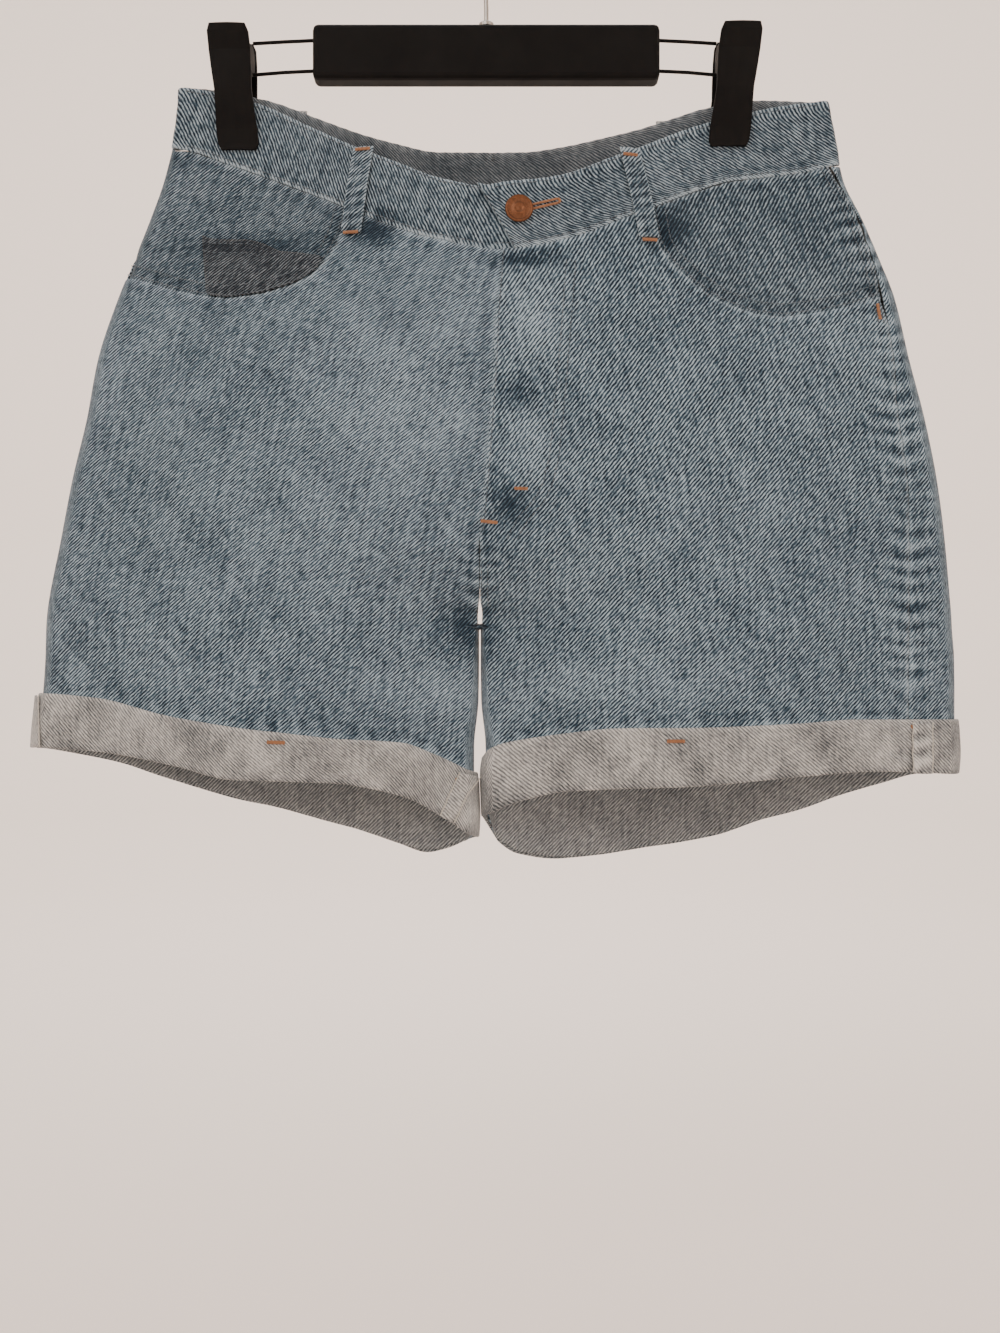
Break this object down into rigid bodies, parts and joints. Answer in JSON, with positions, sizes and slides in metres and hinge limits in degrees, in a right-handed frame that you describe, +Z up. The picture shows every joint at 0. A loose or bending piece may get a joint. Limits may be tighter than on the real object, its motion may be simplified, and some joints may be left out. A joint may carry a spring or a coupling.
{
  "type": "denim shorts on a clip hanger",
  "caption": "Denim shorts with rolled cuffs, belt loops and scooped pockets, hanging by the waistband from a black clip hanger.",
  "frame": {"origin": "inside top of the hanger's hook, where a rail would touch it", "axes": "+Z up, +Y to the back of the garment, +X to the right as the front is seen"},
  "size_m": [0.5753, 0.0734, 0.6051],
  "materials": {
    "denim": "washed twill",
    "denim_band": "washed twill",
    "denim_reverse": "wrong side of the twill",
    "copper": "antique",
    "black_plastic": "matte moulded",
    "steel_wire": "bright wire"
  },
  "bodies": {
    "root": {"front_left": "denim", "front_right": "denim", "pocket_facing_left": "denim", "pocket_facing_right": "denim", "coin_pocket": "denim", "yoke_left": "denim", "yoke_right": "denim", "back_left": "denim", "back_right": "denim", "back_pocket_left": "denim", "back_pocket_right": "denim", "waistband": "denim_band", "cuff_left": "denim_reverse", "cuff_right": "denim_reverse", "belt_loop_front_left": "denim", "belt_loop_front_right": "denim", "belt_loop_side_left": "denim", "belt_loop_side_right": "denim", "belt_loop_centre": "denim", "button": "copper", "hanger_bar": "black_plastic", "rod_upper_left": "black_plastic", "rod_lower_left": "black_plastic", "rod_upper_right": "black_plastic", "rod_lower_right": "black_plastic", "clip_front_left": "black_plastic", "clip_back_left": "black_plastic", "clip_front_right": "black_plastic", "clip_back_right": "black_plastic", "clip_pivot_left": "black_plastic", "clip_pivot_right": "black_plastic", "hook": "steel_wire", "hook_collar": "steel_wire"}
  },
  "joints": []
}
